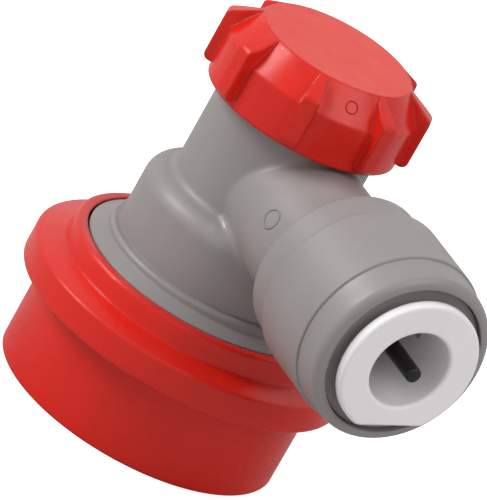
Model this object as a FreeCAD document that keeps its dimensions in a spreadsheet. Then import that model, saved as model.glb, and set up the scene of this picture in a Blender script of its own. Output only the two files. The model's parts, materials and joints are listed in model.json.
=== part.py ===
import FreeCAD, Part
import math
import os
import Sketcher

# Ball-lock quick disconnect for a gas post, with a push-fit socket for 8 mm tube.
# The part stands on its locking collar. The origin is the middle of the collar's
# bottom face, +Z runs up to the screw cap and +X runs out along the tube arm.
# All lengths are in millimetres.

doc = FreeCAD.newDocument("quick_disconnect")
sheet = doc.addObject("Spreadsheet::Sheet", "Dims")

DIMENSIONS = [
    # keg post socket and the locking balls round it
    ("socket_radius", 9.0), ("ball_radius", 2.0), ("ball_reach", 0.9), ("ball_clearance", 0.04),
    ("pocket_clearance", 0.05), ("relief_depth", 0.2), ("relief_rise", 0.2), ("nose_step", 1.1),
    ("nose_cone", 0.8), ("nose_length", 3.0), ("over_cut", 1.0), ("corner_margin", 0.06),
    # cam inside the collar
    ("cam_slope", 0.38), ("collar_lift", 2.5), ("land_clearance", 0.05), ("land_height", 1.35),
    ("cam_relief", 0.5),
    # locking collar, outside
    ("snap_ledge", 0.32), ("skirt_wall", 1.15), ("skirt_height", 9.15), ("grip_reach", 2.7),
    ("grip_thickness", 3.0), ("grip_slope", 0.75), ("rim_draft", 0.25), ("rim_height", 2.2),
    ("rim_wall", 1.05), ("collar_round", 0.3),
    # snap ring that holds the collar, and the collar's spring
    ("snap_height", 1.5), ("snap_thickness", 0.9), ("snap_depth", 0.9), ("snap_clearance", 0.1),
    ("snap_gap", 5.0), ("spring_room", 0.95), ("spring_length", 5.4), ("collar_wire", 0.4),
    ("collar_spring_turns", 3.0), ("seat_gap", 0.02),
    # cage: the lower wall of the housing
    ("cage_bottom", 0.4), ("slide_clearance", 0.2), ("waist_depth", 0.35), ("socket_rise", 0.9),
    # disc and bell of the housing
    ("disc_clearance", 0.25), ("disc_thickness", 2.5), ("disc_rise", 0.8), ("disc_ledge", 1.5),
    ("step_height", 0.8), ("step_width", 0.8), ("bell_height", 7.25), ("bell_round", 2.1),
    ("step_round", 0.45), ("seam_round", 0.9),
    # valve seat, gas chamber and neck
    ("seat_radius", 3.5), ("foot_space", 2.5), ("foot_height", 2.7), ("web_thickness", 2.5),
    ("chamber_radius", 6.4), ("neck_wall", 1.97), ("thread_wall", 1.3), ("thread_height", 3.4),
    # tube arm, outside, with its lengths counted back from the mouth
    ("arm_rise", 4.3), ("hub_radius", 6.85), ("ring_length", 3.5), ("ring_drop", 0.65),
    ("barrel_length", 7.8), ("barrel_step", 0.2), ("nozzle_length", 3.3), ("nozzle_taper", 0.25),
    ("lip_wall", 1.05), ("mouth_round", 0.9), ("ring_round", 0.35), ("barrel_round", 0.14),
    # tube socket and seals
    ("tube_radius", 4.0), ("tube_clearance", 0.05), ("tube_seat", 1.6), ("seal_section", 1.0),
    ("seal_squeeze", 0.03), ("spacer_thickness", 0.85), ("seal_room", 0.13),
    # push-fit cartridge
    ("mouth_depth", 8.7), ("cartridge_recess", 0.55), ("cartridge_wall", 1.05),
    ("cartridge_clearance", 0.05), ("throat_clearance", 0.25), ("throat_length", 3.75),
    ("cone_length", 1.9), ("leg_clearance", 0.3),
    # collet and its steel teeth
    ("collet_leg", 2.4), ("collet_wall", 1.45), ("collet_gap", 0.15), ("collet_travel", 0.9),
    ("flange_gap", 0.77), ("flange_thickness", 1.0), ("flange_round", 0.35), ("flange_flat", 6.05),
    ("head_chamfer", 0.5), ("head_flank", 0.9), ("flank_offset", 0.45), ("collet_slot", 0.8),
    ("slot_reach", 1.2), ("collet_turn", 10.6),
    ("teeth_inset", 0.7), ("teeth_thickness", 0.4), ("teeth_depth", 1.15), ("teeth_reach", 0.02),
    ("teeth_notch", 0.7), ("notch_depth", 0.6),
    # check valve in the arm
    ("valve_wall", 2.0), ("valve_length", 7.0), ("valve_step", 0.45), ("passage_step", 1.3),
    ("valve_clearance", 0.03), ("valve_cage_length", 4.4), ("valve_cage_wall", 0.55),
    ("valve_seat_thickness", 1.1), ("valve_seat_hole", 1.9), ("valve_head_gap", 0.27),
    ("valve_head_thickness", 1.2), ("valve_seal_thickness", 1.2), ("valve_seal_gap", 0.04),
    ("valve_stem", 0.88), ("stem_taper", 0.1), ("stem_reach", 0.85), ("valve_wire", 0.2),
    ("valve_spring_turns", 3.0), ("valve_spring_inset", 0.25),
    # poppet in the gas chamber
    ("poppet_gap", 1.0), ("poppet_head_thickness", 1.3), ("poppet_seal_thickness", 0.9),
    ("poppet_seal_inset", 0.5), ("poppet_stem", 1.7), ("foot_clearance", 0.3), ("poppet_fin", 0.9),
    ("poppet_rise", 0.5), ("boss_gap", 1.3), ("boss_height", 1.4), ("poppet_wire", 0.3),
    ("poppet_spring_turns", 6.5), ("poppet_spring_gap", 0.5),
    # screw cap
    ("cap_gap", 0.5), ("cap_overlap", 0.55), ("cap_clearance", 0.23), ("cap_wall", 1.4),
    ("crown_thickness", 2.08), ("cap_dome", 3.0), ("dome_inset", 2.15), ("spigot_clearance", 0.2),
    ("spigot_depth", 3.0), ("spigot_wall", 1.2), ("cap_seal_section", 0.7), ("cap_seal_gap", 0.01),
    # grip lugs round the cap
    ("lug_width", 1.65), ("lug_tip_width", 0.8), ("lug_height", 1.0), ("lug_drop", 1.65),
    ("lug_root", 0.3), ("lug_tip_drop", 0.1), ("lug_tip_reach", 0.15), ("lug_foot", 0.45),
    ("lug_round", 0.7), ("lug_turn", 7.5),
]
BALL_COUNT = 6
LUG_COUNT = 8
TOOTH_COUNT = 8
COLLET_SLOT_PAIRS = 2
WIRE_SIDES = 6

# Sizes and places that follow from the driving ones, in the order of the assembly
DERIVED = {
    # round the main axis
    "ball_orbit": "socket_radius - ball_reach + ball_radius",
    "land_radius": "ball_orbit + ball_radius + land_clearance",
    "cam_at_ball": "ball_orbit + (ball_radius + ball_clearance) * sqrt(1 + cam_slope^2)",
    "cam_radius": "cam_at_ball + collar_lift * cam_slope",
    "snap_pocket": "cam_radius + snap_ledge",
    "skirt_radius": "snap_pocket + skirt_wall",
    "cage_radius": "land_radius - slide_clearance",
    "cage_waist": "cage_radius - waist_depth",
    "snap_inner": "cage_radius - snap_depth",
    "rim_bore": "land_radius + spring_room",
    "rim_radius": "rim_bore + rim_wall",
    "crease_radius": "rim_radius + rim_draft",
    "grip_radius": "crease_radius + grip_reach",
    "disc_radius": "rim_bore - disc_clearance",
    "step_radius": "disc_radius - disc_ledge",
    "bell_radius": "step_radius - step_width",
    "relief_radius": "socket_radius + relief_depth",
    "nose_radius": "socket_radius - nose_step",
    "foot_bore": "seat_radius + foot_space",
    "neck_radius": "chamber_radius + neck_wall",
    "thread_core": "chamber_radius + thread_wall",
    "bell_corner": "min(bell_round; bell_radius - neck_radius - corner_margin)",
    "cap_bore": "neck_radius + cap_clearance",
    "cap_skirt": "cap_bore + cap_wall",
    "dome_radius": "cap_skirt - dome_inset",
    "lug_radius": "cap_skirt + lug_height",
    "lug_corner_round": "min(lug_round; lug_height - corner_margin)",
    "lug_tip_radius": "dome_radius + lug_tip_reach",
    "lug_root_radius": "cap_bore + lug_root",
    "lug_core_radius": "dome_radius - cap_wall",
    "spigot_radius": "chamber_radius - spigot_clearance",
    "collar_spring_radius": "(cage_radius + rim_bore) / 2",
    # up the main axis
    "counterbore_top": "snap_height + snap_thickness + snap_clearance",
    "cam_foot": "counterbore_top + cam_relief",
    "ball_height": "cam_foot + collar_lift",
    "land_bottom": "ball_height + (cam_at_ball - land_radius) / cam_slope",
    "land_top": "land_bottom + land_height",
    "guide_top": "land_top + collar_lift",
    "relief_top": "ball_height + ball_radius + relief_rise",
    "grip_top": "skirt_height + grip_thickness",
    "crease_height": "grip_top + grip_slope",
    "rim_top": "crease_height + rim_height",
    "disc_bottom": "land_top + spring_length",
    "disc_edge": "disc_bottom + disc_thickness",
    "disc_crown": "disc_edge + disc_rise",
    "bell_foot": "disc_crown + step_height",
    "bell_top": "bell_foot + bell_height",
    "socket_top": "disc_bottom + socket_rise",
    "nose_bottom": "socket_top + nose_cone",
    "nose_top": "nose_bottom + nose_length",
    "web_bottom": "nose_top + foot_height",
    "web_top": "web_bottom + web_thickness",
    "arm_height": "web_top + arm_rise",
    "cap_bottom": "arm_height + hub_radius + cap_gap",
    "neck_shoulder": "cap_bottom + cap_overlap",
    "neck_top": "neck_shoulder + thread_height",
    "crown": "neck_top + 2 * cap_seal_section + 2 * cap_seal_gap",
    "cap_top": "crown + crown_thickness",
    "cap_shoulder": "cap_top - cap_dome",
    "lug_bottom": "cap_bottom + lug_foot",
    "lug_corner": "cap_top - lug_drop",
    "lug_top": "cap_top - lug_tip_drop",
    # out along the tube arm
    "tube_bore": "tube_radius + tube_clearance",
    "seal_bore": "tube_radius + 2 * seal_section + tube_clearance",
    "valve_bore": "tube_bore - valve_step",
    "passage_radius": "valve_bore - passage_step",
    "collet_head": "tube_bore + collet_leg",
    "collet_neck": "tube_bore + collet_wall",
    "leg_space": "collet_head + leg_clearance",
    "throat_radius": "collet_neck + throat_clearance",
    "cartridge_radius": "leg_space + cartridge_wall",
    "cartridge_bore": "cartridge_radius + cartridge_clearance",
    "flange_radius": "cartridge_bore - flange_gap",
    "nozzle_front": "cartridge_bore + lip_wall",
    "nozzle_radius": "nozzle_front + nozzle_taper",
    "barrel_radius": "nozzle_radius + barrel_step",
    "ring_radius": "barrel_radius - ring_drop",
    "valve_back": "chamber_radius + valve_wall",
    "tube_stop": "valve_back + valve_length",
    "seal_back": "tube_stop + tube_seat",
    "seal_step": "2 * seal_section + 2 * seal_squeeze",
    "cartridge_back": "seal_back + 2 * seal_step + spacer_thickness + seal_room",
    "arm_mouth": "cartridge_back + mouth_depth",
    "cartridge_front": "arm_mouth - cartridge_recess",
    "cone_end": "cartridge_front - throat_length",
    "cone_start": "cone_end - cone_length",
    "barrel_edge": "arm_mouth - nozzle_length",
    "barrel_start": "barrel_edge - barrel_length",
    "ring_start": "barrel_start - ring_length",
    "collet_tail": "cartridge_back + collet_travel + collet_gap",
    "neck_end": "cone_start + flank_offset",
    "flange_back": "cartridge_front + collet_travel + collet_gap",
    "collet_face": "flange_back + flange_thickness",
    "slot_end": "neck_end + slot_reach",
    "teeth_place": "collet_tail + teeth_inset",
    "teeth_inner": "tube_radius + teeth_reach",
    "teeth_outer": "tube_bore + teeth_depth",
    # check valve and poppet
    "valve_guide": "valve_bore - valve_clearance - valve_cage_wall",
    "valve_head": "valve_guide - valve_head_gap",
    "valve_cage_back": "tube_stop - valve_cage_length",
    "valve_seat_back": "tube_stop - valve_seat_thickness",
    "valve_seal_back": "valve_seat_back - valve_seal_gap - valve_seal_thickness",
    "valve_head_back": "valve_seal_back - valve_head_thickness",
    "valve_spring_radius": "valve_head - valve_spring_inset",
    "valve_stem_tip": "valve_stem - stem_taper",
    "stem_end": "collet_face + stem_reach",
    "poppet_head": "chamber_radius - poppet_gap",
    "poppet_seal_lip": "poppet_head - poppet_seal_inset",
    "poppet_head_bottom": "web_top + seat_gap + poppet_seal_thickness",
    "poppet_head_top": "poppet_head_bottom + poppet_head_thickness",
    "poppet_bottom": "nose_top + poppet_rise",
    "poppet_foot": "seat_radius - foot_clearance",
    "poppet_spring_radius": "spigot_radius - spigot_wall - poppet_wire - poppet_spring_gap",
    "poppet_boss": "poppet_spring_radius - poppet_wire - boss_gap",
}

for row, (alias, value) in enumerate(DIMENSIONS, start=1):
    sheet.set("A%d" % row, alias)
    sheet.set("B%d" % row, str(value))
    sheet.setAlias("B%d" % row, alias)
doc.recompute()

ALIASES = {alias for alias, value in DIMENSIONS}


def expand(text):
    """Write an expression's plain size names as cells of the sheet."""
    words = []
    word = ""
    for letter in text + " ":
        if letter.isalnum() or letter == "_":
            word += letter
            continue
        if word in ALIASES:
            word = "Dims." + word
        elif word in DERIVED:
            word = "(" + expand(DERIVED[word]) + ")"
        words.append(word + letter)
        word = ""
    return "".join(words).strip()


def size(text):
    """The value of an expression over the sheet's sizes."""
    return float(sheet.evalExpression(expand(text)))


def origin_plane(body, role):
    """One of the body's own origin planes, by its role."""
    return next(item for item in body.Origin.OriginFeatures if item.Role == role)


def new_body(label):
    body = doc.addObject("PartDesign::Body", label)
    body.Label = label
    return body


def lay_on_arm(body, turn=0.0):
    """Lay a body that was drawn along +Z along the tube arm, turned round its own axis first."""
    spin = FreeCAD.Rotation(FreeCAD.Vector(0, 0, 1), turn)
    lay = FreeCAD.Rotation(FreeCAD.Vector(0, 1, 0), 90)
    body.Placement = FreeCAD.Placement(FreeCAD.Vector(), lay * spin)
    body.setExpression("Placement.Base.z", expand("arm_height"))


def pin_point(sketch, line, place, axis, text):
    """Hold a line's start point at a size from the origin along one axis."""
    value = size(text)
    if abs(value) < 1e-9:
        axis_line = -2 if axis == "DistanceX" else -1
        sketch.addConstraint(Sketcher.Constraint("PointOnObject", line, place, axis_line))
        return
    if value > 0:
        rule = Sketcher.Constraint(axis, -1, 1, line, place, value)
        bound = expand(text)
    else:
        rule = Sketcher.Constraint(axis, line, place, -1, 1, -value)
        bound = "-(" + expand(text) + ")"
    number = sketch.addConstraint(rule)
    sketch.setExpression("Constraints[%d]" % number, bound)


def outline(body, name, points, plane="XZ_Plane", height=None):
    """A closed sketch through points, each given as two expressions: across and up."""
    sketch = body.newObject("Sketcher::SketchObject", name)
    sketch.AttachmentSupport = (origin_plane(body, plane), [""])
    sketch.MapMode = "FlatFace"
    if height:
        slot = "z" if plane == "XY_Plane" else "y"
        sketch.setExpression("AttachmentOffset.Base." + slot, expand(height))
    spots = [FreeCAD.Vector(size(across), size(up), 0) for across, up in points]
    count = len(points)
    for index in range(count):
        sketch.addGeometry(Part.LineSegment(spots[index], spots[(index + 1) % count]), False)
    for index in range(count):
        sketch.addConstraint(Sketcher.Constraint("Coincident", index, 2, (index + 1) % count, 1))
    for index, (across, up) in enumerate(points):
        pin_point(sketch, index, 1, "DistanceX", across)
        pin_point(sketch, index, 1, "DistanceY", up)
    return sketch


def revolve(body, name, points, height=None, axis="V_Axis", kind="Revolution"):
    """Turn an outline round its upright axis, or round its level one at a height."""
    sketch = outline(body, name + "Outline", points, height=height)
    turned = body.newObject("PartDesign::" + kind, name)
    turned.Profile = sketch
    turned.ReferenceAxis = (sketch, [axis])
    turned.Angle = 360
    doc.recompute()
    if kind == "Groove":
        check_cut(turned)
    return turned


def check_cut(feature):
    """Stop if a cut took nothing away."""
    before = feature.BaseFeature.Shape.Volume
    if feature.Shape.Volume > before - 1e-6:
        raise RuntimeError(feature.Name + " cuts nothing")


def pad(body, name, points, length, plane="XY_Plane", height=None, middle=False):
    sketch = outline(body, name + "Outline", points, plane=plane, height=height)
    added = body.newObject("PartDesign::Pad", name)
    added.Profile = sketch
    added.setExpression("Length", expand(length))
    added.Midplane = middle
    doc.recompute()
    return added


def cut_out(body, name, points, length, plane="XY_Plane", height=None, middle=True):
    """Cut an outline on both sides of its plane, or only below it."""
    sketch = outline(body, name + "Outline", points, plane=plane, height=height)
    cut = body.newObject("PartDesign::Pocket", name)
    cut.Profile = sketch
    cut.setExpression("Length", expand(length))
    cut.Midplane = middle
    doc.recompute()
    check_cut(cut)
    return cut


def repeat(body, name, features, count, angle=360.0):
    """Copy features round the body's own Z axis."""
    pattern = body.newObject("PartDesign::PolarPattern", name)
    pattern.Originals = features
    z_axis = next(item for item in body.Origin.OriginFeatures if item.Role == "Z_Axis")
    pattern.Axis = (z_axis, [""])
    pattern.Angle = angle
    pattern.Occurrences = count
    body.Tip = pattern
    doc.recompute()
    return pattern


def ring_edges(shape, radius, place, along="z", middle=(0.0, 0.0)):
    """Names of the round edges of one radius at one place along an axis."""
    names = []
    for number, edge in enumerate(shape.Edges, start=1):
        curve = None if edge.Degenerated else edge.Curve
        if not isinstance(curve, Part.Circle) or abs(curve.Radius - radius) > 1e-4:
            continue
        centre = curve.Center
        if along == "z":
            fits = abs(centre.z - place) < 1e-4 and abs(centre.x - middle[0]) < 1e-4
        else:
            fits = abs(centre.x - place) < 1e-4 and abs(centre.z - middle[1]) < 1e-4
        if fits:
            names.append("Edge%d" % number)
    if not names:
        raise RuntimeError("no round edge of radius %g at %g" % (radius, place))
    return names


def arm_edges(shape, radius, place):
    """Names of the round edges of one radius at one place along the tube arm."""
    return ring_edges(shape, size(radius), size(place), "x", (0, size("arm_height")))


def level_edges(shape, radius, places):
    """Names of the straight level edges whose middle is one radius from the main axis."""
    names = []
    for number, edge in enumerate(shape.Edges, start=1):
        if edge.Degenerated or not isinstance(edge.Curve, Part.Line):
            continue
        middle = edge.CenterOfMass
        level = any(abs(end.Z - place) < 1e-4 and abs(middle.z - place) < 1e-4
                    for place in places for end in edge.Vertexes)
        if level and abs(math.hypot(middle.x, middle.y) - radius) < 1e-4:
            names.append("Edge%d" % number)
    return names


def curved_seam(shape):
    """Names of the edges where one round form runs into another."""
    return ["Edge%d" % number for number, edge in enumerate(shape.Edges, start=1)
            if not edge.Degenerated and isinstance(edge.Curve, Part.BSplineCurve)]


def round_off(body, name, base, edges, radius):
    rounded = body.newObject("PartDesign::Fillet", name)
    rounded.Base = (base, edges)
    rounded.setExpression("Radius", expand(radius))
    doc.recompute()
    return rounded


def coil(body, wire, radius, bottom, height, turns):
    """A wire of flat-sided section, coiled round +Z between two seats."""
    sketch = body.newObject("Sketcher::SketchObject", "Wire")
    sketch.AttachmentSupport = (origin_plane(body, "XZ_Plane"), [""])
    sketch.MapMode = "FlatFace"
    centre = FreeCAD.Vector(size(radius), size(bottom), 0)
    thickness = size(wire)
    turn = 2 * math.pi / WIRE_SIDES
    corners = [centre + FreeCAD.Vector(thickness * math.cos(side * turn),
                                       thickness * math.sin(side * turn), 0)
               for side in range(WIRE_SIDES)]
    for side in range(WIRE_SIDES):
        line = Part.LineSegment(corners[side], corners[(side + 1) % WIRE_SIDES])
        sketch.addGeometry(line, False)
    ring = sketch.addGeometry(Part.Circle(centre, FreeCAD.Vector(0, 0, 1), thickness), True)
    for side in range(WIRE_SIDES):
        sketch.addConstraint(Sketcher.Constraint("Coincident", side, 2, (side + 1) % WIRE_SIDES, 1))
        sketch.addConstraint(Sketcher.Constraint("PointOnObject", side, 1, ring))
    for side in range(1, WIRE_SIDES):
        sketch.addConstraint(Sketcher.Constraint("Equal", 0, side))
    sketch.addConstraint(Sketcher.Constraint("Horizontal", 0, 1, ring, 3))
    bindings = [
        (Sketcher.Constraint("DistanceX", -1, 1, ring, 3, centre.x), radius),
        (Sketcher.Constraint("DistanceY", -1, 1, ring, 3, centre.y), bottom),
        (Sketcher.Constraint("Radius", ring, thickness), wire),
    ]
    for rule, text in bindings:
        number = sketch.addConstraint(rule)
        sketch.setExpression("Constraints[%d]" % number, expand(text))
    helix = body.newObject("PartDesign::AdditiveHelix", "Coil")
    helix.Profile = sketch
    helix.ReferenceAxis = (sketch, ["V_Axis"])
    helix.Mode = "height-turns-angle"
    helix.setExpression("Height", expand(height))
    helix.setExpression("Turns", expand(turns))
    doc.recompute()
    return body


def make_housing():
    """Grey moulded housing: ball cage, disc, bell, neck and tube arm in one piece."""
    body = new_body("body")
    outer = revolve(body, "Upright", [
        ("0", "cage_bottom"),
        ("cage_radius", "cage_bottom"),
        ("cage_radius", "snap_height"),
        ("snap_inner", "snap_height"),
        ("snap_inner", "snap_height + snap_thickness"),
        ("cage_radius", "snap_height + snap_thickness"),
        ("cage_radius", "guide_top"),
        ("cage_waist", "guide_top"),
        ("cage_waist", "disc_bottom"),
        ("disc_radius", "disc_bottom"),
        ("disc_radius", "disc_edge"),
        ("step_radius", "disc_crown"),
        ("step_radius", "bell_foot"),
        ("bell_radius", "bell_foot"),
        ("bell_radius", "bell_top"),
        ("neck_radius", "bell_top"),
        ("neck_radius", "neck_shoulder"),
        ("thread_core", "neck_shoulder"),
        ("thread_core", "neck_top"),
        ("0", "neck_top"),
    ])
    rounded = round_off(body, "BellShoulder", outer,
                        ring_edges(outer.Shape, size("bell_radius"), size("bell_top")), "bell_corner")
    rounded = round_off(body, "StepRing", rounded,
                        ring_edges(rounded.Shape, size("step_radius"), size("bell_foot")), "step_round")
    arm = revolve(body, "Arm", [
        ("0", "0"),
        ("arm_mouth", "0"),
        ("arm_mouth", "nozzle_front"),
        ("barrel_edge", "nozzle_radius"),
        ("barrel_edge", "barrel_radius"),
        ("barrel_start", "barrel_radius"),
        ("barrel_start", "ring_radius"),
        ("ring_start", "ring_radius"),
        ("ring_start", "hub_radius"),
        ("0", "hub_radius"),
    ], height="arm_height", axis="H_Axis")
    seam = curved_seam(arm.Shape) + ring_edges(arm.Shape, size("neck_radius"), size("bell_top"))
    blend = round_off(body, "Seam", arm, seam, "seam_round")
    blend = round_off(body, "Lip", blend, arm_edges(blend.Shape, "nozzle_front", "arm_mouth"),
                      "mouth_round")
    blend = round_off(body, "RingEdge", blend, arm_edges(blend.Shape, "ring_radius", "ring_start"),
                      "ring_round")
    blend = round_off(body, "BarrelBack", blend, arm_edges(blend.Shape, "barrel_radius", "barrel_start"),
                      "ring_round")
    round_off(body, "BarrelEdge", blend, arm_edges(blend.Shape, "barrel_radius", "barrel_edge"),
              "barrel_round")
    revolve(body, "Chamber", [
        ("0", "cage_bottom - over_cut"),
        ("relief_radius", "cage_bottom - over_cut"),
        ("relief_radius", "relief_top"),
        ("socket_radius", "relief_top + relief_depth"),
        ("socket_radius", "socket_top"),
        ("nose_radius", "nose_bottom"),
        ("nose_radius", "nose_top"),
        ("foot_bore", "nose_top"),
        ("foot_bore", "web_bottom"),
        ("seat_radius", "web_bottom"),
        ("seat_radius", "web_top"),
        ("chamber_radius", "web_top"),
        ("chamber_radius", "neck_top + over_cut"),
        ("0", "neck_top + over_cut"),
    ], kind="Groove")
    revolve(body, "ArmBore", [
        ("0", "0"),
        ("arm_mouth + over_cut", "0"),
        ("arm_mouth + over_cut", "cartridge_bore"),
        ("cartridge_back", "cartridge_bore"),
        ("cartridge_back", "seal_bore"),
        ("seal_back", "seal_bore"),
        ("seal_back", "tube_bore"),
        ("tube_stop", "tube_bore"),
        ("tube_stop", "valve_bore"),
        ("valve_back", "valve_bore"),
        ("valve_back", "passage_radius"),
        ("0", "passage_radius"),
    ], height="arm_height", axis="H_Axis", kind="Groove")
    pocket = make_ball_pocket(body)
    repeat(body, "BallPockets", [pocket], BALL_COUNT)
    return body


def make_ball_pocket(body):
    """One radial hole in the cage, with a round seat that keeps the ball from falling in."""
    sketch = body.newObject("Sketcher::SketchObject", "PocketOutline")
    sketch.AttachmentSupport = (origin_plane(body, "XZ_Plane"), [""])
    sketch.MapMode = "FlatFace"
    sketch.setExpression("AttachmentOffset.Base.y", expand("ball_height"))
    orbit = size("ball_orbit")
    radius = size("ball_radius + pocket_clearance")
    mouth = size("cage_radius + over_cut")
    centre = FreeCAD.Vector(orbit, 0, 0)
    seat = Part.ArcOfCircle(Part.Circle(centre, FreeCAD.Vector(0, 0, 1), radius), math.pi / 2, math.pi)
    inner, top, end, corner = (FreeCAD.Vector(orbit - radius, 0, 0), FreeCAD.Vector(orbit, radius, 0),
                               FreeCAD.Vector(mouth, 0, 0), FreeCAD.Vector(mouth, radius, 0))
    sketch.addGeometry(seat, False)
    sketch.addGeometry(Part.LineSegment(inner, end), False)
    sketch.addGeometry(Part.LineSegment(end, corner), False)
    sketch.addGeometry(Part.LineSegment(corner, top), False)
    for first, first_end, second, second_end in ((0, 2, 1, 1), (1, 2, 2, 1), (2, 2, 3, 1), (3, 2, 0, 1)):
        sketch.addConstraint(Sketcher.Constraint("Coincident", first, first_end, second, second_end))
    sketch.addConstraint(Sketcher.Constraint("PointOnObject", 0, 3, -1))
    sketch.addConstraint(Sketcher.Constraint("PointOnObject", 1, 1, -1))
    sketch.addConstraint(Sketcher.Constraint("PointOnObject", 1, 2, -1))
    sketch.addConstraint(Sketcher.Constraint("Vertical", 2))
    sketch.addConstraint(Sketcher.Constraint("Horizontal", 3))
    sketch.addConstraint(Sketcher.Constraint("Vertical", 0, 1, 0, 3))
    bindings = [
        (Sketcher.Constraint("Radius", 0, radius), "ball_radius + pocket_clearance"),
        (Sketcher.Constraint("DistanceX", -1, 1, 0, 3, orbit), "ball_orbit"),
        (Sketcher.Constraint("DistanceX", -1, 1, 1, 2, mouth), "cage_radius + over_cut"),
    ]
    for rule, text in bindings:
        number = sketch.addConstraint(rule)
        sketch.setExpression("Constraints[%d]" % number, expand(text))
    pocket = body.newObject("PartDesign::Groove", "BallPocket")
    pocket.Profile = sketch
    pocket.ReferenceAxis = (sketch, ["H_Axis"])
    pocket.Angle = 360
    doc.recompute()
    check_cut(pocket)
    return pocket


def make_collar():
    """Red locking collar: skirt, grip flange and rim, with the ball cam inside."""
    body = new_body("collar")
    shell = revolve(body, "Shell", [
        ("snap_pocket", "0"),
        ("skirt_radius", "0"),
        ("skirt_radius", "skirt_height"),
        ("grip_radius", "skirt_height"),
        ("grip_radius", "grip_top"),
        ("crease_radius", "crease_height"),
        ("rim_radius", "rim_top"),
        ("rim_bore", "rim_top"),
        ("rim_bore", "land_top"),
        ("land_radius", "land_top"),
        ("land_radius", "land_bottom"),
        ("cam_radius", "cam_foot"),
        ("cam_radius", "counterbore_top"),
        ("snap_pocket", "counterbore_top"),
    ])
    corners = (("grip_radius", "skirt_height"), ("grip_radius", "grip_top"), ("rim_radius", "rim_top"))
    edges = []
    for radius, place in corners:
        edges += ring_edges(shell.Shape, size(radius), size(place))
    round_off(body, "Corners", shell, edges, "collar_round")
    return body


def make_snap_ring():
    """Open steel ring in the cage's groove: the collar's lower stop."""
    body = new_body("snap_ring")
    revolve(body, "Ring", [
        ("snap_inner", "snap_height"),
        ("snap_pocket - snap_clearance", "snap_height"),
        ("snap_pocket - snap_clearance", "snap_height + snap_thickness"),
        ("snap_inner", "snap_height + snap_thickness"),
    ])
    cut_out(body, "Gap", [
        ("-snap_pocket", "-snap_gap / 2"),
        ("-snap_inner / 2", "-snap_gap / 2"),
        ("-snap_inner / 2", "snap_gap / 2"),
        ("-snap_pocket", "snap_gap / 2"),
    ], "4 * (snap_height + snap_thickness)")
    return body


def make_collar_spring():
    body = new_body("collar_spring")
    return coil(body, "collar_wire", "collar_spring_radius",
                "land_top + collar_wire + seat_gap",
                "disc_bottom - land_top - 2 * collar_wire - 2 * seat_gap", "collar_spring_turns")


def make_balls():
    """Steel locking balls, evenly round the cage."""
    balls = []
    for number in range(BALL_COUNT):
        angle = number * 360.0 / BALL_COUNT
        ball = doc.addObject("Part::Sphere", "ball_%d" % (number + 1))
        ball.Label = "ball_%d" % (number + 1)
        ball.setExpression("Radius", expand("ball_radius"))
        ball.setExpression("Placement.Base.x", expand("ball_orbit") + " * cos(%g)" % angle)
        ball.setExpression("Placement.Base.y", expand("ball_orbit") + " * sin(%g)" % angle)
        ball.setExpression("Placement.Base.z", expand("ball_height"))
        balls.append(ball)
    return balls


def make_poppet():
    """Main valve poppet: finned stem through the seat, head and spring boss above."""
    body = new_body("poppet")
    revolve(body, "Head", [
        ("0", "poppet_bottom"),
        ("poppet_stem", "poppet_bottom"),
        ("poppet_stem", "poppet_head_bottom"),
        ("poppet_head", "poppet_head_bottom"),
        ("poppet_head", "poppet_head_top"),
        ("poppet_boss", "poppet_head_top"),
        ("poppet_boss", "poppet_head_top + boss_height"),
        ("0", "poppet_head_top + boss_height"),
    ])
    fin = pad(body, "Fin", [
        ("-poppet_foot", "-poppet_fin / 2"),
        ("poppet_foot", "-poppet_fin / 2"),
        ("poppet_foot", "poppet_fin / 2"),
        ("-poppet_foot", "poppet_fin / 2"),
    ], "web_top - poppet_bottom", height="poppet_bottom")
    repeat(body, "Fins", [fin], 2, 180.0)
    return body


def make_poppet_seal():
    """Rubber washer under the poppet head."""
    body = new_body("poppet_seal")
    revolve(body, "Washer", [
        ("seat_radius", "web_top + seat_gap"),
        ("poppet_seal_lip", "web_top + seat_gap"),
        ("poppet_seal_lip", "poppet_head_bottom"),
        ("poppet_stem", "poppet_head_bottom"),
        ("poppet_stem", "web_top + seat_gap + poppet_seal_thickness / 2"),
        ("seat_radius", "web_top + seat_gap + poppet_seal_thickness / 2"),
    ])
    return body


def make_poppet_spring():
    body = new_body("poppet_spring")
    return coil(body, "poppet_wire", "poppet_spring_radius",
                "poppet_head_top + poppet_wire + seat_gap",
                "crown - poppet_head_top - 2 * poppet_wire - 2 * seat_gap",
                "poppet_spring_turns")


def make_cap():
    """Red screw cap: eight grip lugs, a domed crown and a spigot that carries the seal."""
    body = new_body("cap")
    body.AllowCompound = True
    lug = make_lug(body)
    sides = [make_lug_side(body, "LugLeft", ""), make_lug_side(body, "LugRight", "-")]
    repeat(body, "Lugs", [lug] + sides, LUG_COUNT)
    crown = revolve(body, "Crown", [
        ("0", "crown"),
        ("spigot_radius - spigot_wall", "crown"),
        ("spigot_radius - spigot_wall", "crown - spigot_depth"),
        ("spigot_radius", "crown - spigot_depth"),
        ("spigot_radius", "crown"),
        ("cap_bore", "crown"),
        ("cap_bore", "cap_bottom"),
        ("cap_skirt", "cap_bottom"),
        ("cap_skirt", "cap_shoulder"),
        ("dome_radius", "cap_top"),
        ("0", "cap_top"),
    ])
    corners = level_edges(crown.Shape, size("lug_radius"), (size("lug_bottom"), size("lug_corner")))
    round_off(body, "LugCorners", crown, corners, "lug_corner_round")
    body.Placement = FreeCAD.Placement(FreeCAD.Vector(),
                                       FreeCAD.Rotation(FreeCAD.Vector(0, 0, 1), size("lug_turn")))
    return body


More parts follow.
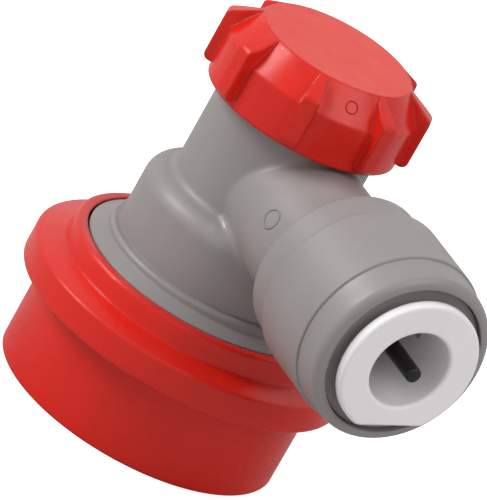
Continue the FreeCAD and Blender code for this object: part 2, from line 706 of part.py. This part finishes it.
def make_lug(body):
    """One grip lug from its side: a flat outer face, and a top that leans in to the crown."""
    inside = "crown + spigot_clearance"
    return pad(body, "Lug", [
        ("lug_root_radius", "lug_bottom"),
        ("lug_radius", "lug_bottom"),
        ("lug_radius", "lug_corner"),
        ("lug_tip_radius", "lug_top"),
        ("lug_core_radius", "lug_top"),
        ("lug_core_radius", inside),
        ("lug_root_radius", inside),
    ], "lug_width", plane="XZ_Plane", middle=True)


def make_lug_side(body, name, sign):
    """Cut that narrows one side of the lug towards its tip."""
    edge = sign + "lug_width / 2"
    tip = sign + "lug_tip_width / 2"
    outside = sign + "lug_width"
    return cut_out(body, name, [
        ("cap_skirt", edge),
        ("lug_tip_radius", tip),
        ("lug_core_radius", tip),
        ("lug_core_radius", outside),
        ("cap_skirt", outside),
    ], "lug_top - cap_shoulder", height="lug_top", middle=False)


def make_o_ring(label, orbit, section, along, place):
    """A rubber ring, upright round +Z or round the tube arm."""
    ring = doc.addObject("Part::Torus", label)
    ring.Label = label
    ring.setExpression("Radius1", expand(orbit))
    ring.setExpression("Radius2", expand(section))
    if along == "z":
        ring.setExpression("Placement.Base.z", expand(place))
        return ring
    ring.Placement = FreeCAD.Placement(FreeCAD.Vector(), FreeCAD.Rotation(FreeCAD.Vector(0, 1, 0), 90))
    ring.setExpression("Placement.Base.x", expand(place))
    ring.setExpression("Placement.Base.z", expand("arm_height"))
    return ring


def make_seal_spacer():
    """Ring between the two tube seals."""
    body = new_body("seal_spacer")
    back = "(seal_back + seal_step)"
    revolve(body, "Spacer", [
        ("tube_bore + seal_squeeze", back),
        ("seal_bore - seal_squeeze", back),
        ("seal_bore - seal_squeeze", back + " + spacer_thickness"),
        ("tube_bore + seal_squeeze", back + " + spacer_thickness"),
    ])
    lay_on_arm(body)
    return body


def make_cartridge():
    """Grey ring in the arm's mouth, with the cone that closes the collet's legs."""
    body = new_body("collet_housing")
    revolve(body, "Cartridge", [
        ("leg_space", "cartridge_back + seat_gap"),
        ("cartridge_radius", "cartridge_back + seat_gap"),
        ("cartridge_radius", "cartridge_front"),
        ("throat_radius", "cartridge_front"),
        ("throat_radius", "cone_end"),
        ("leg_space", "cone_start"),
    ])
    lay_on_arm(body)
    return body


def make_collet():
    """White collet: flange, neck and slotted legs with flared heads."""
    body = new_body("collet")
    sleeve = revolve(body, "Sleeve", [
        ("tube_bore", "collet_tail"),
        ("collet_head - head_chamfer", "collet_tail"),
        ("collet_head", "collet_tail + head_chamfer"),
        ("collet_head", "neck_end - head_flank"),
        ("collet_neck", "neck_end"),
        ("collet_neck", "flange_back"),
        ("flange_radius", "flange_back"),
        ("flange_radius", "collet_face"),
        ("tube_bore", "collet_face"),
        ("tube_bore", "teeth_place + teeth_thickness + seat_gap"),
        ("teeth_outer + seat_gap", "teeth_place + teeth_thickness + seat_gap"),
        ("teeth_outer + seat_gap", "teeth_place - seat_gap"),
        ("tube_bore", "teeth_place - seat_gap"),
    ])
    edges = []
    for radius in ("flange_radius", "tube_bore"):
        edges += ring_edges(sleeve.Shape, size(radius), size("collet_face"))
    round_off(body, "FaceCorners", sleeve, edges, "flange_round")
    slot = cut_out(body, "Slot", [
        ("-collet_slot / 2", "collet_tail - over_cut"),
        ("collet_slot / 2", "collet_tail - over_cut"),
        ("collet_slot / 2", "slot_end"),
        ("-collet_slot / 2", "slot_end"),
    ], "4 * flange_radius", plane="XZ_Plane")
    repeat(body, "Slots", [slot], COLLET_SLOT_PAIRS, 180.0)
    cut_out(body, "FlangeFlat", [
        ("flange_flat", "-flange_radius"),
        ("flange_radius + over_cut", "-flange_radius"),
        ("flange_radius + over_cut", "flange_radius"),
        ("flange_flat", "flange_radius"),
    ], "flange_thickness + collet_gap", height="collet_face", middle=False)
    lay_on_arm(body, size("collet_turn"))
    return body


def make_teeth():
    """Steel grip ring held in the collet's legs."""
    body = new_body("collet_teeth")
    revolve(body, "Plate", [
        ("teeth_inner", "teeth_place"),
        ("teeth_outer", "teeth_place"),
        ("teeth_outer", "teeth_place + teeth_thickness"),
        ("teeth_inner", "teeth_place + teeth_thickness"),
    ])
    sketch = outline(body, "NotchOutline", [
        ("teeth_inner - notch_depth", "-teeth_notch / 2"),
        ("teeth_inner + notch_depth", "-teeth_notch / 2"),
        ("teeth_inner + notch_depth", "teeth_notch / 2"),
        ("teeth_inner - notch_depth", "teeth_notch / 2"),
    ], plane="XY_Plane", height="teeth_place")
    notch = body.newObject("PartDesign::Pocket", "Notch")
    notch.Profile = sketch
    notch.setExpression("Length", expand("4 * teeth_thickness"))
    notch.Midplane = True
    doc.recompute()
    check_cut(notch)
    repeat(body, "Notches", [notch], TOOTH_COUNT)
    lay_on_arm(body)
    return body


def make_valve_cage():
    """Black insert in the arm: the check valve's guide and seat."""
    body = new_body("check_cage")
    outer = "(valve_bore - valve_clearance)"
    revolve(body, "Guide", [
        ("valve_guide", "valve_cage_back"),
        (outer, "valve_cage_back"),
        (outer, "tube_stop"),
        ("valve_seat_hole", "tube_stop"),
        ("valve_seat_hole", "valve_seat_back"),
        ("valve_guide", "valve_seat_back"),
    ])
    lay_on_arm(body)
    return body


def make_valve_poppet():
    """Black check-valve poppet: a head and the long stem seen in the collet's bore."""
    body = new_body("check_poppet")
    revolve(body, "Stem", [
        ("0", "valve_head_back"),
        ("valve_head", "valve_head_back"),
        ("valve_head", "valve_seal_back"),
        ("valve_stem", "valve_seal_back"),
        ("valve_stem_tip", "stem_end"),
        ("0", "stem_end"),
    ])
    lay_on_arm(body)
    return body


def make_valve_seal():
    """Rubber washer on the check valve's stem."""
    body = new_body("check_seal")
    front = "(valve_seal_back + valve_seal_thickness)"
    revolve(body, "Washer", [
        ("valve_stem", "valve_seal_back"),
        ("valve_head", "valve_seal_back"),
        ("valve_head", front),
        ("valve_stem", front),
    ])
    lay_on_arm(body)
    return body


def make_valve_spring():
    body = new_body("check_spring")
    coil(body, "valve_wire", "valve_spring_radius", "valve_back + valve_wire + seat_gap",
         "valve_head_back - valve_back - 2 * valve_wire - 2 * seat_gap", "valve_spring_turns")
    lay_on_arm(body)
    return body


def check_part(piece):
    """Stop if a sub-part failed, is empty or isn't a sound solid."""
    shape = piece.Shape
    if shape.isNull() or not shape.isValid() or not shape.Solids:
        raise RuntimeError(piece.Label + " has no valid solid")


pieces = [make_housing(), make_collar(), make_snap_ring(), make_collar_spring()]
pieces += make_balls()
pieces += [make_poppet(), make_poppet_seal(), make_poppet_spring(), make_cap()]
pieces.append(make_o_ring("cap_seal", "spigot_radius + cap_seal_gap + cap_seal_section",
                          "cap_seal_section", "z", "neck_top + cap_seal_gap + cap_seal_section"))
tube_seal_orbit = "seal_bore - seal_squeeze - seal_section"
first_seal = "seal_back + seal_section + seal_squeeze"
second_seal = first_seal + " + seal_step + spacer_thickness"
pieces.append(make_o_ring("tube_seal_inner", tube_seal_orbit, "seal_section", "x", first_seal))
pieces.append(make_seal_spacer())
pieces.append(make_o_ring("tube_seal_outer", tube_seal_orbit, "seal_section", "x", second_seal))
pieces += [make_cartridge(), make_collet(), make_teeth()]
pieces += [make_valve_cage(), make_valve_poppet(), make_valve_seal(), make_valve_spring()]
doc.recompute()

for item in doc.Objects:
    if "Invalid" in item.State or "Error" in item.State:
        raise RuntimeError(item.Name + " failed: " + str(item.State))
for piece in pieces:
    check_part(piece)

os.makedirs("parts", exist_ok=True)
for piece in pieces:
    piece.Shape.exportStep("parts/" + piece.Label + ".step")
    box = piece.Shape.BoundBox
    print("%-16s volume %9.2f  z %6.2f to %6.2f" % (piece.Label, piece.Shape.Volume, box.ZMin, box.ZMax))
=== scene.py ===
import json
from math import cos, pi, radians, sin

import bmesh
import bpy
from mathutils import Matrix, Vector


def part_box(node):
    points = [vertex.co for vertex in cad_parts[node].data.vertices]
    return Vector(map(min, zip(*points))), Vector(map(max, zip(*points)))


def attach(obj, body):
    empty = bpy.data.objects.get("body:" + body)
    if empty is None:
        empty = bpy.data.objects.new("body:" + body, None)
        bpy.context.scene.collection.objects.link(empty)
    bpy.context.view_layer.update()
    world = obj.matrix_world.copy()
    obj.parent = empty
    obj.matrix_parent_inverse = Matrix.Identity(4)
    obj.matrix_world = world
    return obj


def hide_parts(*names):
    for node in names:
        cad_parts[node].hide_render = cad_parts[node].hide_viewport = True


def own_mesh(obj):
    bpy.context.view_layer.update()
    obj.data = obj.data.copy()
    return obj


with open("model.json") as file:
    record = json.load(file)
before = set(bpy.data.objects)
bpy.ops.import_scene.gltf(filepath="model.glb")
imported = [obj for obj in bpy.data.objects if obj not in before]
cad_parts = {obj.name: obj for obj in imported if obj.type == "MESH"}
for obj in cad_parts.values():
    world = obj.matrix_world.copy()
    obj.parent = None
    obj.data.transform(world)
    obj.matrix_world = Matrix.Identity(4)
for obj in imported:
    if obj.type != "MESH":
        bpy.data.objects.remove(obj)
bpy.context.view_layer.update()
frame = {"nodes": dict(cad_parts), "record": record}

# Quick disconnect: softened edges, threads, springs and finishes, then floor, light and camera.
# All places are in the part's own frame, in metres.
MM = 0.001
UP = Vector((0, 0, 1))
ALONG_ARM = Vector((1, 0, 0))

# The photograph's camera, fitted to the part: a distant one with a long lens
CAMERA_PLACE = Vector((417.9, -333.1, 227.6)) * MM
CAMERA_RIGHT = Vector((0.4043, 0.7908, 0.4596))
CAMERA_DOWN = Vector((0.5551, 0.1872, -0.8105))
LENS = 432.0
SENSOR = 36.0
CAMERA_REACH = 10.0

# How far the moulded edges are rounded, and which edges count as sharp
EDGE_ROUND = {
    "body": 0.1, "collar": 0.1, "cap": 0.16, "collet_housing": 0.12, "collet": 0.12,
    "check_poppet": 0.22,
}
SHARP_EDGE = radians(24)
SMOOTH_BELOW = radians(40)
EDGE_SEGMENTS = 3
FLAT = radians(0.3)
WELD = 0.0005 * MM

# Screw thread between neck and cap: one ridge on each, half a pitch apart
PITCH = 2.0 * MM
THREAD_HEIGHT = 0.5 * MM
THREAD_ROOT = 0.8 * MM
THREAD_CREST = 0.35 * MM
THREAD_SUNK = 0.1 * MM
THREAD_FADE = 0.12
THREAD_STEPS = 96
THREAD_BOTTOM = 35.4 * MM
NECK_WALL = 7.7 * MM
NECK_THREAD_TURNS = 1.1
CAP_WALL = 8.6 * MM
CAP_THREAD_TURNS = 1.6

# Springs: the closed turns at each end, their rise in wire radii per turn, and the mesh's fineness
CLOSED_TURNS = 0.8
CLOSED_RISE = 2.05
SPRING_STEPS = 64
SPRING_SIDES = 14

# Plain mould marks: a raised ring on the arm's hub and one on the cap's cone
MARK_STEPS = 40
MARK_SIDES = 10
HUB_MARK_TURN = radians(165)
HUB_MARK_PLACE = Vector((12.0, 0, 26.798)) * MM
HUB_MARK_HEIGHT = 6.84 * MM
HUB_MARK_RADIUS = 0.95 * MM
HUB_MARK_WIRE = 0.09 * MM
CAP_MARK_TURN = radians(-14)
CAP_MARK_LEAN = radians(35.6)
CAP_MARK_REACH = 8.93 * MM
CAP_MARK_HEIGHT = 40.1 * MM
CAP_MARK_RADIUS = 0.6 * MM
CAP_MARK_WIRE = 0.06 * MM

# Patches with a look of their own: the cap's matte disc, whose paler colour is a painted sheen, and the
# glossy wrinkled facet beside the hub, whose slightly paler colour is a painted highlight
CAP_DISC = (0, 0, 41.6 * MM)
CAP_DISC_INNER = 6.6 * MM
CAP_DISC_OUTER = 7.8 * MM
FACET = (7.1 * MM, -7.1 * MM, 23.2 * MM)
FACET_INNER = 0.9 * MM
FACET_OUTER = 1.9 * MM

# Textures of the plastics: waves or cells per metre, depths, and samples for the soft edges
FLOW_WAVES = 160.0
FLOW_STRETCH = (1.0, 1.0, 0.35)
SPECK_CELLS = 420.0
SMEAR_WAVES = 420.0
SURFACE_WAVES = 330.0
SURFACE_DEPTH = 0.06 * MM
WRINKLE_WAVES = 1100.0
GRAIN_WAVES = 2600.0
GRAIN_DEPTH = 0.02 * MM
BEVEL_SAMPLES = 6

# Textures of rubber and steel: waves per metre, and the depth of the lines
RUBBER_BLOOM_WAVES = 700.0
RUBBER_GRAIN_WAVES = 4000.0
STEEL_LINE_WAVES = 1500.0
STEEL_STRETCH = (1.0, 1.0, 9.0)
STEEL_DEPTH = 0.01 * MM

# Floor and light. The floor and the sky look white to the camera and light the part less.
FLOOR_REACH = 2.0
FLOOR_GREY = (0.55, 0.55, 0.55)
FLOOR_SEEN = (0.9, 0.9, 0.9)
FLOOR_GLOW = 0.62
SKY = 0.52
SKY_IN_GLOSS = 0.28
SKY_SEEN = 0.48
LAMP_DISTANCE = 0.8
LAMP_AIM = Vector((0, 0, 20 * MM))
KEY_FROM = (-0.42, -0.80, 0.60)
KEY_WATTS = 4.1
KEY_BREADTH = 0.35
FILL_FROM = (0.62, 0.20, 0.75)
FILL_WATTS = 2.0
FILL_BREADTH = 0.5


def node_maker(tree):
    """A helper that adds a node with its sockets and settings filled in."""
    def add(kind, **settings):
        node = tree.nodes.new(kind)
        for key, value in settings.items():
            if key in node.inputs:
                node.inputs[key].default_value = value
            else:
                setattr(node, key, value)
        return node
    return add


def new_material(name):
    """An empty node material, its shader and the helpers that add and link nodes."""
    material = bpy.data.materials.new(name)
    material.use_nodes = True
    tree = material.node_tree
    return material, tree.nodes["Principled BSDF"], node_maker(tree), tree.links.new


def feed(link, socket, source):
    """Set a socket to a plain number or colour, or link another node to it."""
    if isinstance(source, float):
        socket.default_value = source
    elif isinstance(source, tuple):
        socket.default_value = (*source, 1)
    else:
        link(source, socket)


def noise(add, link, vector, waves, detail):
    texture = add("ShaderNodeTexNoise", Scale=waves, Detail=detail)
    link(vector, texture.inputs["Vector"])
    return texture.outputs["Fac"]


def stretched(add, link, vector, scale):
    mapping = add("ShaderNodeMapping", Scale=scale)
    link(vector, mapping.inputs["Vector"])
    return mapping.outputs["Vector"]


def spread(add, link, value, low, high, start=0.0, end=1.0):
    """Map a value from start..end to low..high."""
    ramp = add("ShaderNodeMapRange")
    for name, number in (("From Min", start), ("From Max", end), ("To Min", low), ("To Max", high)):
        ramp.inputs[name].default_value = number
    link(value, ramp.inputs["Value"])
    return ramp.outputs["Result"]


def multiply_add(add, link, value, factor, term):
    """value times factor plus term, each a plain number or another node's."""
    total = add("ShaderNodeMath", operation="MULTIPLY_ADD")
    for socket, source in zip(total.inputs, (value, factor, term)):
        feed(link, socket, source)
    return total.outputs["Value"]


def blend_colours(add, link, factor, first, second):
    """Mix two colours, each a plain one or another node's."""
    mix = add("ShaderNodeMix", data_type="RGBA")
    link(factor, mix.inputs["Factor"])
    # A mix node has its two colour inputs at 6 and 7, and its colour output at 2
    feed(link, mix.inputs[6], first)
    feed(link, mix.inputs[7], second)
    return mix.outputs[2]


def bumps(add, link, height, distance, strength, before=None):
    bump = add("ShaderNodeBump", Strength=strength, Distance=distance)
    link(height, bump.inputs["Height"])
    if before:
        link(before, bump.inputs["Normal"])
    return bump.outputs["Normal"]


def near(middle, inner, outer):
    """A mask of all that lies round a point, soft between two radii."""
    def mask(add, link, place):
        away = add("ShaderNodeVectorMath", operation="DISTANCE")
        link(place, away.inputs[0])
        away.inputs[1].default_value = middle
        return spread(add, link, away.outputs["Value"], 1.0, 0.0, inner, outer)
    return mask


def pale_specks(add, link, place):
    """A mask of small dots, in some of the cells."""
    cells = add("ShaderNodeTexVoronoi", Scale=SPECK_CELLS)
    link(place, cells.inputs["Vector"])
    dots = spread(add, link, cells.outputs["Distance"], 1.0, 0.0, 0.03, 0.05)
    chosen = spread(add, link, cells.outputs["Color"], 0.0, 1.0, 0.72, 0.74)
    return multiply_add(add, link, dots, chosen, 0.0)


def moulded_plastic(name, colour, shade, speck, roughness, waves, grain, sheen, soft,
                    patch=None, painted_light_colour=None, patch_roughness=0.0, wrinkles=0.0):
    """Injection-moulded plastic: flow marks, rare pale specks, slight waves and a fine grain.

    soft is the radius that the shading gives to edges. A patch is a mask with a roughness of its own,
    wrinkles of a given depth, and a paler colour that is painted light: a painted sheen or a painted
    highlight.
    """
    material, shader, add, link = new_material(name)
    shader.inputs["Specular IOR Level"].default_value = sheen
    place = add("ShaderNodeTexCoord").outputs["Object"]
    flow = noise(add, link, stretched(add, link, place, FLOW_STRETCH), FLOW_WAVES, 4.0)
    tint = blend_colours(add, link, spread(add, link, flow, 0.0, 1.0, 0.3, 0.7), shade, colour)
    tint = blend_colours(add, link, pale_specks(add, link, place), tint, speck)
    fine = noise(add, link, place, GRAIN_WAVES, 4.0)
    smear = noise(add, link, place, SMEAR_WAVES, 2.0)
    rough = multiply_add(add, link, spread(add, link, fine, roughness - 0.03, roughness + 0.03), 1.0,
                         spread(add, link, smear, -0.05, 0.05, 0.3, 0.7))
    surface = add("ShaderNodeBevel", samples=BEVEL_SAMPLES, Radius=soft).outputs["Normal"]
    surface = bumps(add, link, noise(add, link, place, SURFACE_WAVES, 2.0), SURFACE_DEPTH, waves, surface)
    if patch:
        covered = patch(add, link, place)
        # Painted light: the patch's paler colour stands in for a sheen or a highlight on that spot
        tint = blend_colours(add, link, covered, tint, painted_light_colour)
        rough = multiply_add(add, link, covered, patch_roughness - roughness, rough)
        if wrinkles:
            folds = noise(add, link, place, WRINKLE_WAVES, 3.0)
            folds = multiply_add(add, link, folds, covered, 0.0)
            surface = bumps(add, link, folds, wrinkles, 1.0, surface)
    surface = bumps(add, link, fine, GRAIN_DEPTH, grain, surface)
    link(tint, shader.inputs["Base Color"])
    link(rough, shader.inputs["Roughness"])
    link(surface, shader.inputs["Normal"])
    return material


def rubber(name):
    """Black rubber: matte, with a dusty bloom and a grain."""
    material, shader, add, link = new_material(name)
    place = add("ShaderNodeTexCoord").outputs["Object"]
    bloom = noise(add, link, place, RUBBER_BLOOM_WAVES, 4.0)
    tint = blend_colours(add, link, spread(add, link, bloom, 0.0, 1.0, 0.35, 0.75),
                         (0.012, 0.012, 0.012), (0.035, 0.034, 0.033))
    link(tint, shader.inputs["Base Color"])
    link(spread(add, link, bloom, 0.5, 0.72), shader.inputs["Roughness"])
    grain = noise(add, link, place, RUBBER_GRAIN_WAVES, 3.0)
    link(bumps(add, link, grain, GRAIN_DEPTH, 0.4), shader.inputs["Normal"])
    return material


def steel(name):
    """Drawn or ground steel: fine lines that vary the gloss."""
    material, shader, add, link = new_material(name)
    shader.inputs["Metallic"].default_value = 1.0
    place = add("ShaderNodeTexCoord").outputs["Object"]
    lines = noise(add, link, stretched(add, link, place, STEEL_STRETCH), STEEL_LINE_WAVES, 4.0)
    tint = blend_colours(add, link, lines, (0.42, 0.42, 0.43), (0.66, 0.66, 0.65))
    link(tint, shader.inputs["Base Color"])
    link(spread(add, link, lines, 0.16, 0.34), shader.inputs["Roughness"])
    link(bumps(add, link, lines, STEEL_DEPTH, 0.2), shader.inputs["Normal"])
    return material


FINISHES = {
    "red_plastic": moulded_plastic(
        "red_plastic", colour=(0.72, 0.017, 0.008), shade=(0.65, 0.014, 0.006), speck=(0.80, 0.30, 0.26),
        roughness=0.27, waves=0.45, grain=0.10, sheen=0.34, soft=0.45 * MM,
        # The cap's disc: really rougher, and paler in colour as a painted sheen
        patch=near(CAP_DISC, CAP_DISC_INNER, CAP_DISC_OUTER),
        painted_light_colour=(0.72, 0.060, 0.042), patch_roughness=0.46),
    "grey_plastic": moulded_plastic(
        "grey_plastic", colour=(0.292, 0.268, 0.261), shade=(0.270, 0.248, 0.241), speck=(0.52, 0.50, 0.49),
        roughness=0.41, waves=0.30, grain=0.10, sheen=0.42, soft=0.25 * MM,
        # The facet: really glossy and wrinkled, and slightly paler in colour as a painted highlight
        patch=near(FACET, FACET_INNER, FACET_OUTER),
        painted_light_colour=(0.31, 0.288, 0.284), patch_roughness=0.2, wrinkles=0.09 * MM),
    "white_plastic": moulded_plastic(
        "white_plastic", colour=(0.90, 0.865, 0.875), shade=(0.86, 0.83, 0.84), speck=(0.92, 0.90, 0.91),
        roughness=0.42, waves=0.15, grain=0.08, sheen=0.5, soft=0.30 * MM),
    "black_plastic": moulded_plastic(
        "black_plastic", colour=(0.012, 0.010, 0.010), shade=(0.009, 0.008, 0.008), speck=(0.05, 0.05, 0.05),
        roughness=0.36, waves=0.20, grain=0.10, sheen=0.3, soft=0.20 * MM),
    "rubber": rubber("rubber"),
    "steel": steel("steel"),
}
SLOT_OF = {row["node"]: row["material_slot"] for row in frame["record"]["subparts"]}
BODY_OF = {node: body for body, nodes in frame["record"]["behaviour"]["bodies"].items() for node in nodes}
for node, slot in SLOT_OF.items():
    for holder in frame["nodes"][node].material_slots:
        holder.material = FINISHES[slot]


def add_piece(name, mesh, slot, body):
    """A smooth-shaded piece with a finish, riding on a body."""
    mesh.materials.clear()
    mesh.materials.append(FINISHES[slot])
    mesh.shade_smooth()
    mesh.set_sharp_from_angle(angle=SMOOTH_BELOW)
    piece = bpy.data.objects.new(name, mesh)
    bpy.context.scene.collection.objects.link(piece)
    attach(piece, body)
    return piece


def soften(node, width):
    """Stand a copy with rounded edges in for a moulded node."""
    mesh = frame["nodes"][node].data.copy()
    mesh.name = node + "_moulding"
    shape = bmesh.new()
    shape.from_mesh(mesh)
    bmesh.ops.remove_doubles(shape, verts=shape.verts, dist=WELD)
    bmesh.ops.dissolve_limit(shape, angle_limit=FLAT, verts=shape.verts, edges=shape.edges)
    edges = [edge for edge in shape.edges if edge.is_manifold and edge.calc_face_angle() > SHARP_EDGE]
    bmesh.ops.bevel(shape, geom=edges, offset=width, segments=EDGE_SEGMENTS, profile=0.5,
                    affect="EDGES", clamp_overlap=True)
    bmesh.ops.recalc_face_normals(shape, faces=shape.faces)
    shape.to_mesh(mesh)
    shape.free()
    if "custom_normal" in mesh.attributes:
        mesh.attributes.remove(mesh.attributes["custom_normal"])
    piece = add_piece(mesh.name, mesh, SLOT_OF[node], BODY_OF[node])
    even = piece.modifiers.new("even_shading", "WEIGHTED_NORMAL")
    even.keep_sharp = True
    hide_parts(node)
    return piece


def skin(name, sections, closed=False):
    """A mesh through rings of points, with its ends capped unless it closes on itself."""
    count = len(sections[0])
    rings = len(sections)
    faces = []
    for step in range(rings if closed else rings - 1):
        here, there = step * count, (step + 1) % rings * count
        for side in range(count):
            other = (side + 1) % count
            faces.append((here + side, here + other, there + other, there + side))
    if not closed:
        faces.append(tuple(reversed(range(count))))
        faces.append(tuple(range((rings - 1) * count, rings * count)))
    mesh = bpy.data.meshes.new(name)
    mesh.from_pydata([corner for section in sections for corner in section], [], faces)
    shape = bmesh.new()
    shape.from_mesh(mesh)
    bmesh.ops.recalc_face_normals(shape, faces=shape.faces)
    shape.to_mesh(mesh)
    shape.free()
    return mesh


def wire_section(heart, spoke, side_on, wire, sides):
    """A ring of points round a wire's heart, in the plane of two unit vectors."""
    return [heart + wire * (spoke * cos(2 * pi * side / sides) + side_on * sin(2 * pi * side / sides))
            for side in range(sides)]


def add_thread(name, slot, body, wall, height, bottom, turns):
    """A screw ridge on a round wall, with ends that run out. A negative height points inwards."""
    sections = []
    for step in range(int(THREAD_STEPS * turns) + 1):
        turned = step / THREAD_STEPS
        fade = min(1.0, turned / THREAD_FADE, (turns - turned) / THREAD_FADE)
        outward = Vector((cos(2 * pi * turned), sin(2 * pi * turned), 0))
        middle = bottom + PITCH * turned
        sunk = wall - THREAD_SUNK * (1 if height > 0 else -1)
        crest = wall + height * fade
        half_root, half_crest = THREAD_ROOT / 2, THREAD_CREST / 2
        sections.append([
            outward * sunk + UP * (middle - half_root),
            outward * crest + UP * (middle - half_crest),
            outward * crest + UP * (middle + half_crest),
            outward * sunk + UP * (middle + half_root),
        ])
    return add_piece(name, skin(name, sections), slot, body)


def add_spring(node, wire, turns, axis):
    """A round-wire spring with closed ends in place of a node, riding on the node's body."""
    low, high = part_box(node)
    middle = (low + high) / 2
    across = Vector((0, 1, 0))
    outward = across.cross(axis)
    radius = (high - low).dot(across) / 2 - wire
    length = (high - low).dot(axis)
    closed_rise = CLOSED_RISE * wire * CLOSED_TURNS
    steps = int(SPRING_STEPS * turns)
    sections = []
    for step in range(steps + 1):
        turned = turns * step / steps
        if turned < CLOSED_TURNS:
            rise = closed_rise * turned / CLOSED_TURNS
        elif turned > turns - CLOSED_TURNS:
            rise = length - 2 * wire - closed_rise * (turns - turned) / CLOSED_TURNS
        else:
            share = (turned - CLOSED_TURNS) / (turns - 2 * CLOSED_TURNS)
            rise = closed_rise + (length - 2 * wire - 2 * closed_rise) * share
        spoke = across * cos(2 * pi * turned) + outward * sin(2 * pi * turned)
        heart = middle + spoke * radius + axis * (wire + rise - length / 2)
        sections.append(wire_section(heart, spoke, axis, wire, SPRING_SIDES))
    name = node + "_wire"
    piece = add_piece(name, skin(name, sections), "steel", BODY_OF[node])
    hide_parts(node)
    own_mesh(piece)
    return piece


def add_ring_mark(name, slot, body, middle, outward, radius, wire):
    """A small raised ring, a plain mould mark."""
    across = outward.orthogonal().normalized()
    beside = outward.cross(across)
    sections = []
    for step in range(MARK_STEPS):
        turned = 2 * pi * step / MARK_STEPS
        spoke = across * cos(turned) + beside * sin(turned)
        sections.append(wire_section(middle + spoke * radius, spoke, outward, wire, MARK_SIDES))
    return add_piece(name, skin(name, sections, closed=True), slot, body)


for node, width in EDGE_ROUND.items():
    soften(node, width * MM)

add_thread("neck_thread", "grey_plastic", "housing", NECK_WALL, THREAD_HEIGHT,
           THREAD_BOTTOM, NECK_THREAD_TURNS)
add_thread("cap_thread", "red_plastic", "cap", CAP_WALL, -THREAD_HEIGHT,
           THREAD_BOTTOM - PITCH / 2, CAP_THREAD_TURNS)

add_spring("collar_spring", 0.4 * MM, 4.0, UP)
add_spring("poppet_spring", 0.3 * MM, 8.0, UP)
add_spring("check_spring", 0.2 * MM, 5.0, ALONG_ARM)

hub_outward = Vector((0, cos(HUB_MARK_TURN), sin(HUB_MARK_TURN)))
add_ring_mark("hub_mark", "grey_plastic", "housing", HUB_MARK_PLACE + hub_outward * HUB_MARK_HEIGHT,
              hub_outward, HUB_MARK_RADIUS, HUB_MARK_WIRE)
cone_level = Vector((cos(CAP_MARK_TURN), sin(CAP_MARK_TURN), 0))
cone_outward = cone_level * cos(CAP_MARK_LEAN) + UP * sin(CAP_MARK_LEAN)
add_ring_mark("cap_mark", "red_plastic", "cap", cone_level * CAP_MARK_REACH + UP * CAP_MARK_HEIGHT,
              cone_outward, CAP_MARK_RADIUS, CAP_MARK_WIRE)


def add_camera():
    right = CAMERA_RIGHT.normalized()
    up = -(CAMERA_DOWN - right * CAMERA_DOWN.dot(right)).normalized()
    back = right.cross(up)
    camera = bpy.data.objects.new("camera", bpy.data.cameras.new("camera"))
    bpy.context.scene.collection.objects.link(camera)
    turn = Matrix((right, up, back)).transposed()
    camera.matrix_world = Matrix.Translation(CAMERA_PLACE) @ turn.to_4x4()
    camera.data.lens = LENS
    camera.data.sensor_width = SENSOR
    camera.data.clip_end = CAMERA_REACH
    bpy.context.scene.camera = camera


def add_floor():
    """A pale matte floor that shows white, with the part's shadow on it."""
    mesh = bpy.data.meshes.new("floor")
    corners = [(-FLOOR_REACH, -FLOOR_REACH, 0), (FLOOR_REACH, -FLOOR_REACH, 0),
               (FLOOR_REACH, FLOOR_REACH, 0), (-FLOOR_REACH, FLOOR_REACH, 0)]
    mesh.from_pydata(corners, [], [(0, 1, 2, 3)])
    floor = bpy.data.objects.new("floor", mesh)
    bpy.context.scene.collection.objects.link(floor)
    material, shader, add, link = new_material("floor")
    seen = add("ShaderNodeLightPath").outputs["Is Camera Ray"]
    link(blend_colours(add, link, seen, FLOOR_GREY, FLOOR_SEEN), shader.inputs["Base Color"])
    shader.inputs["Roughness"].default_value = 1.0
    shader.inputs["Specular IOR Level"].default_value = 0.0
    shader.inputs["Emission Color"].default_value = (1, 1, 1, 1)
    link(spread(add, link, seen, 0.0, FLOOR_GLOW), shader.inputs["Emission Strength"])
    mesh.materials.append(material)


def add_lamp(name, direction, watts, breadth):
    """A square soft light, aimed at the part."""
    lamp = bpy.data.objects.new(name, bpy.data.lights.new(name, "AREA"))
    bpy.context.scene.collection.objects.link(lamp)
    lamp.data.energy = watts
    lamp.data.size = breadth
    lamp.location = LAMP_AIM + Vector(direction).normalized() * LAMP_DISTANCE
    lamp.rotation_euler = (LAMP_AIM - lamp.location).to_track_quat("-Z", "Y").to_euler()


def add_sky():
    """A white sky, brighter in reflections and brightest to the camera."""
    world = bpy.data.worlds.new("studio")
    world.use_nodes = True
    tree = world.node_tree
    add, link = node_maker(tree), tree.links.new
    path = add("ShaderNodeLightPath")
    strength = multiply_add(add, link, path.outputs["Is Glossy Ray"], SKY_IN_GLOSS, SKY)
    strength = multiply_add(add, link, path.outputs["Is Camera Ray"], SKY_SEEN, strength)
    back = tree.nodes["Background"]
    back.inputs["Color"].default_value = (1, 1, 1, 1)
    link(strength, back.inputs["Strength"])
    bpy.context.scene.world = world


add_camera()
add_floor()
add_sky()
add_lamp("key", KEY_FROM, KEY_WATTS, KEY_BREADTH)
add_lamp("fill", FILL_FROM, FILL_WATTS, FILL_BREADTH)
bpy.context.scene.view_settings.view_transform = "Standard"
